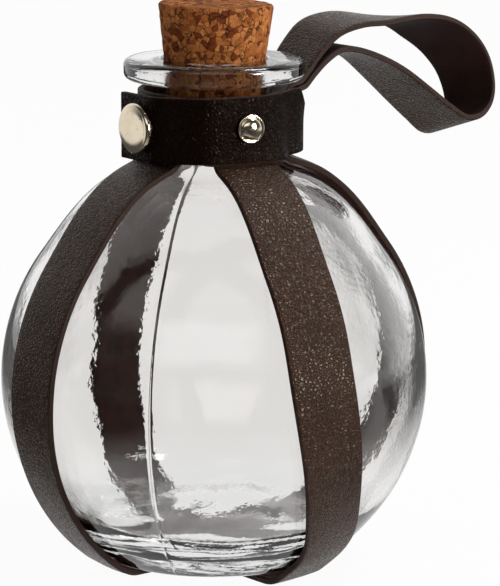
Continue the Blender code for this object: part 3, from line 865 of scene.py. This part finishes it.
def make_bottle():
    outside, inside = bottle_outside(2), bottle_inside()
    angles = glass_angles()
    bm = bmesh.new()
    rings = []
    for number, (radius, height) in enumerate(inside + outside):
        within = number < len(inside)
        if radius < on_axis:
            rings.append([bm.verts.new((0, 0, height))])
            continue
        ring = []
        for azimuth in angles:
            place = spot_at(azimuth, radius, height)
            grown = 0
            if within and height < neck_foot:
                grown = inside_wave * wave(place, inside_wave_size)
            elif not within:
                body = ease((neck_foot - height) / outside_wave_fade)
                grown = outside_wave * body * wave(place, outside_wave_size)
                grown += seam_rise(azimuth, radius) * ease((height - base_height) / seam_fade)
                low = ease((base_height + heel_ripple_top - height) / heel_ripple_fade)
                low *= ease((height - base_height) / heel_ripple_start)
                grown += heel_ripple * low * sin(2 * pi * height / heel_ripple_pitch
                                                 + 3 * wave(place, heel_ripple_drift))
            lift = 0
            if within and height < base_height + base_wall + floor_wave_top:
                lift = floor_wave_share * inside_wave * wave(place, floor_wave_size)
            ring.append(bm.verts.new(spot_at(azimuth, radius + grown, height + lift)))
        rings.append(ring)
    for number, face in bridge(bm, rings, len(angles)):
        face.material_index = 1 if number < len(inside) - 1 else 0
    add_mesh("bottle", bm, [clear_glass, inner_glass], "harness", "glass", ["glass_bottle"])


make_bottle()

# Cork


def make_stopper():
    top_steps, side_steps, bottom_steps = 6, 30, 4
    profile = [
        *[((cork_top_radius - cork_round) * step / top_steps, cork_length) for step in range(top_steps)],
        *arc((cork_top_radius - cork_round, cork_length - cork_round), cork_round, 90, 0, 4),
        *[(cork_top_radius - cork_slope * cork_length * step / side_steps,
           cork_length - cork_round - (cork_length - 2 * cork_round) * step / side_steps)
          for step in range(1, side_steps)],
        *arc((cork_bottom_radius - cork_round, cork_round), cork_round, 0, -90, 4),
        *[((cork_bottom_radius - cork_round) * (1 - step / bottom_steps), 0)
          for step in range(1, bottom_steps + 1)],
    ]
    lean_axis = Vector((0, 0, 1)).cross(outward(cork_lean_azimuth))
    lean = Matrix.Rotation(radians(cork_lean), 4, lean_axis)
    pivot = Matrix.Translation((0, 0, rim_height - cork_depth / 4))
    place = pivot @ lean @ Matrix.Translation((0, 0, -cork_depth * 3 / 4))
    made = turned("stopper", profile, cork_material, cork_segments, Matrix.Identity(4), "cork", "cork",
                  ["cork_stopper"], cork_sharp_angle)
    for vertex in made.data.vertices:
        spot = vertex.co.copy()
        out = Vector((spot.x, spot.y, 0)).normalized() if spot.xy.length > 1e-6 else Vector((0, 0, 0))
        top = ease((spot.z - cork_length + 2 * cork_round) / cork_round)
        chip = wave(spot, chip_size) + 0.6 * wave(spot, fine_chip_size)
        inward = -cork_chip * max(chip, -0.2)
        vertex.co = place @ (spot + out * inward + Vector((0, 0, 0.8 * inward * top)))


make_stopper()

# Leather strips


def section_points(half_width):
    """One strip's cross-section, round from the outer face: side, rise and which finish follows."""
    inner = half_width - edge_round
    high = leather / 2
    corner = high - edge_round
    turns = [radians(angle) for angle in (0, 30, 60, 90)]
    faces = 14
    half = [(-inner + 2 * inner * step / faces, high, 0) for step in range(faces)]
    half += [(inner + edge_round * sin(turn), corner + edge_round * cos(turn),
              0 if turn < edge_corner_turn else 1)
             for turn in turns]
    half += [(half_width - edge_groove, 0, 1)]
    half += [(inner + edge_round * sin(turn), -corner - edge_round * cos(turn),
              1 if turn > edge_corner_turn else 2)
             for turn in reversed(turns)]
    return half + [(-side, -rise, 2 - finish) for side, rise, finish in half[1:-1]]


def leather_strip(name, rows, width, surface, outer=grain_side, inner=flesh_side, **keeps):
    """A strip of leather with rounded cut edges round a middle surface(row, side in metres)."""
    section = section_points(width / 2)
    sides = sorted({round(side, 8) for side, _, _ in section})
    grid = [[surface(row, side) for side in sides] for row in range(rows)]
    where = {side: number for number, side in enumerate(sides)}
    bm = bmesh.new()
    grain_uv = bm.loops.layers.uv.new("Grain")
    edge_uv = bm.loops.layers.uv.new("Edge")
    round_section = [0]
    for (s0, r0, _), (s1, r1, _) in zip(section, section[1:] + section[:1]):
        round_section.append(round_section[-1] + hypot(s1 - s0, r1 - r0))
    rings, lengths = [], [0]
    middle = len(sides) // 2
    for row in range(rows):
        before, after = max(row - 1, 0), min(row + 1, rows - 1)
        if row:
            lengths.append(lengths[-1] + (grid[row][middle] - grid[row - 1][middle]).length)
        ring = []
        for side, rise, _ in section:
            column = where[round(side, 8)]
            left, right = max(column - 1, 0), min(column + 1, len(sides) - 1)
            along = grid[after][column] - grid[before][column]
            across = grid[row][right] - grid[row][left]
            normal = across.cross(along).normalized()
            ring.append(bm.verts.new(grid[row][column] + normal * rise))
        rings.append(ring)
    count = len(section)
    for row in range(rows - 1):
        for number in range(count):
            after = (number + 1) % count
            face = bm.faces.new([rings[row][number], rings[row][after],
                                 rings[row + 1][after], rings[row + 1][number]])
            face.material_index = section[number][2]
            marks = [(row, number), (row, number + 1), (row + 1, number + 1), (row + 1, number)]
            for loop, (line, point) in zip(face.loops, marks):
                loop[grain_uv].uv = (lengths[line], round_section[point])
                loop[edge_uv].uv = (lengths[line], section[point % count][1] / (leather / 2))
    for ring, line in ((rings[0], 0), (rings[-1], rows - 1)):
        cap = bm.faces.new(ring)
        cap.material_index = 1
        for loop, (side, rise, _) in zip(cap.loops, section):
            loop[grain_uv].uv = (side, rise)
            loop[edge_uv].uv = (side, rise / (leather / 2))
    bmesh.ops.recalc_face_normals(bm, faces=bm.faces)
    made = add_mesh(name, bm, [outer, cut_edge, inner], **keeps)
    made.data.set_sharp_from_angle(angle=radians(sharp_angle))
    return made


def hide_ripple(place):
    return hide_wave * wave(place, hide_wave_size)


def cling(height, top):
    return 1 - (1 - strap_cling) * ease((top - height) / strap_relax)


def strap_route(heel, bend):
    """Half of a strap's middle line, from the collar down to the bottle's axis."""
    lift, leave_angle, heel_bend = heel
    turn_height, turn_elevation = shoulder(strap_offset, bend, strap_radius)
    ground = lift + leather / 2
    leave = globe(strap_offset, -leave_angle, -leave_angle, 1)[0]
    fall = radians(90 - leave_angle)
    bend_drop = heel_bend * (1 - cos(fall))
    straight = (leave[1] - ground - bend_drop) / sin(fall)
    bend_start = (leave[0] - straight * cos(fall), leave[1] - straight * sin(fall))
    bend_centre = (bend_start[0] - heel_bend * sin(fall), ground + heel_bend)
    top = collar_top - strap_top_inset
    upright = [
        *[(strap_radius, top + (turn_height - top) * step / 6) for step in range(6)],
        *arc((strap_radius + bend, turn_height), bend, 180, 180 + turn_elevation, 16),
        *globe(strap_offset, turn_elevation, -leave_angle, 80)[1:],
    ]
    heel_line = [*[(leave[0] + (bend_start[0] - leave[0]) * step / 3,
                    leave[1] + (bend_start[1] - leave[1]) * step / 3) for step in (1, 2)],
                 *arc(bend_centre, heel_bend, -leave_angle, -90, 12)]
    level = [(bend_centre[0] * (1 - step / 10), ground) for step in range(1, 11)]
    return upright, heel_line, level


coarse_outline = bottle_outside()


def glass_distance(radius, height):
    nearest = 1
    for (r0, z0), (r1, z1) in zip(coarse_outline, coarse_outline[1:]):
        length = hypot(r1 - r0, z1 - z0)
        along = ((radius - r0) * (r1 - r0) + (height - z0) * (z1 - z0)) / length ** 2
        along = min(max(along, 0), 1)
        nearest = min(nearest, hypot(radius - r0 - along * (r1 - r0), height - z0 - along * (z1 - z0)))
    return nearest


def strap_azimuth(turn_shares, height):
    low, high = turn_range_shares
    place = ((height - centre_height) / body_radius - low) / (high - low)
    return spline(turn_shares, min(max(place, 0), 1))


def wrapped(profile, turn_shares):
    """A strap's middle line round the glass, from its section and its azimuths."""
    return [spot_at(strap_azimuth(turn_shares, height), radius, height)
            for radius, height in profile]


def flat_direction(start, end):
    return Vector((end.x - start.x, end.y - start.y, 0)).normalized()


def run_under(start, end, begin, finish, profile):
    """A line from start to end that leaves and arrives in two directions, at a section's heights."""
    length = Vector((end.x - start.x, end.y - start.y)).length
    reach = hypot(start.x, start.y)
    line = []
    for radius, height in profile + [(-radius, height) for radius, height in profile[-2::-1]]:
        share = (reach - radius) / (2 * reach)
        place = start.lerp(end, ease(share)) + length * (
            begin * share * (1 - share) ** 2 - finish * share ** 2 * (1 - share))
        line.append(Vector((place.x, place.y, height)))
    return line


def make_strap(name, front, back, heel, far_bend, far_top, node):
    upright, heel_line, level = strap_route(heel, strap_bend)
    far_upright, _, _ = strap_route(heel, far_bend)
    near, far = wrapped(upright, front), wrapped(far_upright, back)
    under = run_under(near[-1], far[-1], flat_direction(near[-2], near[-1]),
                      flat_direction(far[-1], far[-2]), heel_line + level)
    route = near + under + far[::-1]
    last = len(route) - 1
    level_rows = range(len(near) + len(heel_line), len(route) - len(far) - len(heel_line))

    def surface(row, side):
        spot = route[row]
        along = (route[min(row + 1, last)] - route[max(row - 1, 0)]).normalized()
        narrowing = ease((centre_height + strap_taper_top - spot.z) / strap_taper)
        reach = -side * (1 - (1 - strap_low_share) * narrowing)
        if row in level_rows:
            return spot + Vector((0, 0, -1)).cross(along).normalized() * reach
        near_half = row < level_rows.start
        down = along if near_half else -along
        out = Vector((spot.x, spot.y, 0)).normalized()
        normal = out * -down.z + Vector((0, 0, down.dot(out)))
        width = normal.cross(along).normalized()
        normal = along.cross(width)
        relax_top = near_top if near_half else far_top
        bend = normal.dot(out) / hypot(spot.x, spot.y) * cling(spot.z, relax_top)
        if abs(bend * reach) < small_turn:
            return spot + width * reach
        place = (spot + width * sin(bend * reach) / bend
                 - normal * (1 - cos(bend * reach)) / bend)
        short = strap_offset - glass_distance(hypot(place.x, place.y), place.z)
        return place + normal * (max(short, 0) + max(hide_ripple(place), 0))

    leather_strip(name, len(route), strap_width, surface, body="harness", slot="leather",
                  stands_for=[node])


make_strap("cradle_leather", cradle_front_turn_shares, cradle_back_turn_shares,
           (layer, cradle_leave, cradle_heel_bend), strap_back_bend, collar_bottom, "cradle_strap")
make_strap("cross_leather", cross_front_turn_shares, cross_back_turn_shares,
           (0, cross_leave, cross_heel_bend), strap_bend, near_top, "cross_strap")

# Collar and flap


def collar_layers(azimuth):
    for (start, low), (end, high) in zip(collar_layer_shares, collar_layer_shares[1:]):
        if azimuth <= end:
            return low + (high - low) * ease((azimuth - start) / (end - start))
    return collar_layer_shares[-1][1]


def near_back(azimuth, full, none):
    return ease((none - abs(azimuth - 180)) / (none - full))


def collar_swell(azimuth, height):
    turn_height, _ = shoulder(strap_offset, strap_bend, strap_radius)
    below = max(turn_height - height, 0)
    upright = sqrt(1 - (below / strap_bend) ** 2)
    centre = strap_radius + strap_bend * (1 - upright)
    over = centre + leather / 2 / upright + gap + leather / 2
    flat = 1 - cling(height, near_top)
    swell = 0
    for turn_shares in (cradle_front_turn_shares, cross_front_turn_shares, cross_back_turn_shares):
        away = abs((azimuth - turn_shares[-1] + 180) % 360 - 180)
        within = cos(radians(min(away, swell_full)))
        here = over * (1 + flat * (1 / within - 1)) - collar_radius
        swell = max(swell, here * ease((swell_none - away) / (swell_none - swell_full)))
    return swell


def collar_place(azimuth, side):
    share = side / collar_height + 0.5
    top = collar_height - collar_dip * near_back(azimuth, dip_full, dip_none)
    height = collar_bottom + share * top
    radius = collar_radius + max(layer * collar_layers(azimuth), collar_swell(azimuth, height))
    radius += collar_flare * near_back(azimuth, flare_full, flare_none) * max(2 * share - 1, 0) ** 2
    return spot_at(azimuth, radius, height)


fold_radius = collar_radius + layer
flap_turn = radians(flap_azimuth)
flap_start = outward(flap_azimuth) * fold_radius
flap_away = Vector((-cos(flap_turn), -sin(flap_turn), 0))


def flap_route():
    """The flap's middle line seen from above, from its square end to the fold."""
    rise = flap_inner + leather / 2 + flap_start.y
    straight = (rise - flap_bend * (1 - cos(flap_turn))) / sin(flap_turn)
    turn_from = flap_start + flap_away * straight
    centre = turn_from + Vector((-sin(flap_turn), cos(flap_turn), 0)) * flap_bend
    steps = 12
    route = [flap_start.lerp(turn_from, step / 5) for step in range(1, 5)]
    for step in range(steps + 1):
        turn = flap_turn * (1 - step / steps)
        route.append(centre + Vector((sin(turn), -cos(turn), 0)) * flap_bend)
    end = Vector((-flap_reach, route[-1].y, 0))
    flat_from = route[-1]
    route += [flat_from.lerp(end, share / 10) for share in range(1, 11)]
    return list(reversed(route))


flap_line = flap_route()
front_rows, back_rows = 110, 150


def front_surface(row, side):
    if row < len(flap_line):
        return flap_line[row] + Vector((0, 0, collar_middle - side))
    step = (row - len(flap_line)) / (front_rows - 1)
    return collar_place(flap_azimuth + (collar_seam_azimuth - flap_azimuth) * step, -side)


def back_surface(row, side):
    step = row / (back_rows - 1)
    return collar_place(collar_seam_azimuth + (collar_end_azimuth - collar_seam_azimuth) * step, -side)


collar_front = leather_strip("collar_front", len(flap_line) + front_rows, collar_height,
                             front_surface, collar_shaded_side, slot="leather",
                             stands_for=["neck_collar", "collar_flap"])
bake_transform(collar_front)
leather_strip("collar_back", back_rows, collar_height, back_surface, collar_shaded_side,
              body="harness", slot="leather")

# Carrying loop with its two ends, one strip

exit_turn = radians(loop_exit)
exit_along = Vector((0, cos(exit_turn), sin(exit_turn)))
exit_across = Vector((0, -sin(exit_turn), cos(exit_turn)))
bend_out = tail_inner_radius + loop_bend
lip_edge = Vector((0, lip_radius - lip_round, lip_underside + lip_round))
clear = lip_round + leather / 2 + loop_lip_gap
bend_height = lip_edge.z + ((bend_out - lip_edge.y) * sin(exit_turn)
                            - clear - loop_bend) / cos(exit_turn)
bend_point = Vector((0, bend_out, bend_height))
exit_middle = bend_point + exit_across * (loop_bend - layer / 2)
loop_fold = exit_middle + exit_along * loop_fold_out


def tail_rows(radius):
    """Places, outward normals and cross bends of a tail, from its end up to the fold."""
    bend = bend_out - radius
    low = collar_bottom + tail_inset
    rows = []
    for step in range(12):
        place = Vector((0, radius, low + (bend_height - low) * step / 12))
        rows.append((place, Vector((0, 1, 0)), 1 / radius))
    for step in range(13):
        turn = exit_turn * step / 12
        normal = Vector((0, cos(turn), -sin(turn)))
        rows.append((bend_point - normal * bend, normal, 1 / radius))
    start, normal, curve = rows[-1]
    for step in range(1, 16):
        travel = loop_fold_out * step / 15
        rows.append((start + exit_along * travel, normal, curve * (1 - ease(travel / loop_flatten))))
    return rows


loop_knots = [exit_across * layer / 2]
loop_knots += [Vector((0, out, up)) * loop_reach for out, up, _, _ in loop_route_shares]
loop_knots += [-exit_across * layer / 2]
loop_leads = [Vector((0, lead_out, lead_up)) for _, _, lead_out, lead_up in loop_route_shares]
loop_leads = [Vector((0, 0, 0)), *loop_leads, Vector((0, 0, 0))]
tail_in, tail_out = tail_rows(tail_inner_radius), tail_rows(tail_outer_radius)
loop_rows = 220


def tail_surface(rows, row, side):
    place, normal, bend = rows[row]
    if abs(bend * side) < tiny_turn:
        return place + Vector((side, 0, 0))
    return place + Vector((sin(bend * side) / bend, 0, 0)) - normal * (1 - cos(bend * side)) / bend


def loop_surface(row, side):
    if row < len(tail_in):
        return tail_surface(tail_in, row, side)
    row -= len(tail_in)
    if row < loop_rows:
        share = (row + 1) / (loop_rows + 1)
        width = (Vector((1, 0, 0)) + spline(loop_leads, share)).normalized()
        return loop_fold + spline(loop_knots, share) + width * side
    return tail_surface(tail_out, len(tail_out) - 1 - (row - loop_rows), side)


carry = leather_strip("carry_leather", len(tail_in) + loop_rows + len(tail_out), loop_width,
                      loop_surface, inner=shaded_loop_inside, slot="leather",
                      stands_for=["carry_loop", "loop_tail_inner", "loop_tail_outer"])
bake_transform(carry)

# Metal


def rivet_cap(side, azimuth, height):
    face = collar_radius + layer * collar_layers(azimuth) + leather / 2
    low = face + seat_gap
    ring_top = low + rivet_ring_height
    rounding = rivet_ring_height / 2
    crown = [(rivet_dome_radius * sin(turn), ring_top + rivet_dome_height * cos(turn))
             for turn in [pi / 2 * step / 12 for step in range(13)]]
    profile = crown + [
        (rivet_dome_radius + rivet_groove, ring_top - rivet_groove),
        (rivet_dome_radius + rivet_groove_width, ring_top),
        *arc((rivet_ring_radius - rounding, low + rounding), rounding, 90, -90, 8),
        (0, low)]
    turned("rivet_" + side + "_head", profile, nickel, rivet_segments, facing(azimuth, height),
           "harness", "nickel", ["rivet_" + side + "_cap"], sharp_angle)


rivet_cap("right", rivet_right_azimuth, collar_middle + rivet_rise)
rivet_cap("left", rivet_left_azimuth, collar_middle + rivet_rise)
rivet_cap("back", 180, collar_middle - rivet_back_drop)


def make_snap_cap():
    cap_low = flap_outer + seat_gap
    cap_edge = cap_low + snap_cap_height - snap_cap_crown
    flat_radius = snap_cap_radius - snap_rim_round
    profile = [
        *[(flat_radius * step / 14, cap_edge + snap_cap_crown * (1 - (step / 14) ** 4))
          for step in range(14)],
        *arc((flat_radius, cap_edge - snap_rim_round), snap_rim_round, 90, 0, 10),
        (snap_cap_radius, cap_low + snap_cap_foot), (snap_cap_radius - snap_cap_foot, cap_low),
        (cap_post_radius, cap_low), (cap_post_radius, flap_inner), (0, flap_inner)]
    turned("snap_head", profile, nickel, snap_segments, facing(0, collar_middle), "flap", "nickel",
           ["snap_cap"], sharp_angle)


make_snap_cap()
for name in ("snap_socket", "snap_stud", "snap_post", "rivet_right_post", "rivet_left_post",
             "rivet_back_post"):
    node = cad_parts[name]
    node.data.materials.clear()
    node.data.materials.append(dull_nickel)

# Floor, light and background


def make_floor():
    bm = bmesh.new()
    bmesh.ops.create_circle(bm, cap_ends=True, segments=96, radius=floor_radius)
    made, tree, shader = material("pale floor")
    feed_all(tree, shader, {"Base Color": floor_colour, "Roughness": floor_rough})
    glow = tree.nodes.new("ShaderNodeEmission")
    path = tree.nodes.new("ShaderNodeLightPath")
    seen = calc(tree, "MAXIMUM", path.outputs["Is Camera Ray"], calc(
        tree, "MAXIMUM", path.outputs["Is Glossy Ray"], path.outputs["Is Transmission Ray"]))
    towards = vector_dot(tree, own_place(tree), -outward(view_azimuth))
    sideways = calc(tree, "ABSOLUTE", vector_dot(tree, own_place(tree), outward(view_azimuth + 90)))
    beside = calc(tree, "MAXIMUM", span(tree, sideways, *floor_dim_start, 1, floor_dim_share),
                  span(tree, sideways, *floor_dim_end))
    bright = times(tree, span(tree, towards, *floor_turn, floor_front_strength, floor_strength), beside)
    feed(tree, glow.inputs["Strength"], calc(tree, "MAXIMUM", path.outputs["Is Camera Ray"], bright))
    mix = tree.nodes.new("ShaderNodeMixShader")
    feed(tree, mix.inputs[0], times(tree, seen, floor_glow_share))
    tree.links.new(shader.outputs[0], mix.inputs[1])
    tree.links.new(glow.outputs[0], mix.inputs[2])
    tree.links.new(mix.outputs[0], tree.nodes["Material Output"].inputs[0])
    floor = add_mesh("floor", bm, [made])


def soft_window(tree, towards, azimuth, elevation, across_reach, rise_reach):
    """A patch of sky with soft edges, in sines of the angle from its middle."""
    middle = skyward(azimuth, elevation)
    side = Vector((0, 0, 1)).cross(middle).normalized()
    across = calc(tree, "ABSOLUTE", vector_dot(tree, towards, side))
    rise = calc(tree, "ABSOLUTE", vector_dot(tree, towards, middle.cross(side)))
    inside = times(tree, span(tree, across, *across_reach, 1, 0), span(tree, rise, *rise_reach, 1, 0))
    return times(tree, inside, span(tree, vector_dot(tree, towards, middle), 0, 0.3))


def make_world():
    world = bpy.data.worlds.new("studio")
    bpy.context.scene.world = world
    world.use_nodes = True
    tree = world.node_tree
    back = tree.nodes["Background"]
    path = tree.nodes.new("ShaderNodeLightPath")
    towards = tree.nodes.new("ShaderNodeTexCoord").outputs["Generated"]
    behind = vector_dot(tree, towards, -outward(view_azimuth))
    wall_light = span(tree, behind, *wall_turn, front_strength, wall_strength)
    window = soft_window(tree, towards, window_azimuth, window_elevation, window_across, window_rise)
    strip = soft_window(tree, towards, strip_azimuth, strip_elevation, strip_across, strip_rise)
    shown = calc(tree, "MAXIMUM", path.outputs["Is Glossy Ray"], path.outputs["Is Transmission Ray"])
    wall_light = plus(tree, wall_light, times(tree, window, window_strength))
    level = blend_number(tree, shown, fill_strength, wall_light)
    strip = times(tree, strip, calc(tree, "SUBTRACT", 1, path.outputs["Is Transmission Ray"]))
    level = plus(tree, level, times(tree, strip, strip_strength))
    seen = path.outputs["Is Camera Ray"]
    feed(tree, back.inputs["Strength"], blend_number(tree, seen, level, 1))
    white = calc(tree, "MAXIMUM", calc(tree, "MAXIMUM", seen, shown), strip)
    feed(tree, back.inputs["Color"], blend_colour(tree, white, fill_colour, (1, 1, 1)))


def make_lamp():
    data = bpy.data.lights.new("top box", "AREA")
    data.shape = "RECTANGLE"
    data.size, data.size_y = lamp_size
    data.energy = lamp_power
    lamp = bpy.data.objects.new("top box", data)
    bpy.context.scene.collection.objects.link(lamp)
    out = skyward(lamp_azimuth, lamp_elevation)
    lamp.location = Vector((0, 0, centre_height)) + out * lamp_distance
    lamp.rotation_mode = "QUATERNION"
    lamp.rotation_quaternion = out.to_track_quat("Z", "Y")


make_floor()
make_world()
make_lamp()
bpy.context.scene.view_settings.view_transform = "Standard"
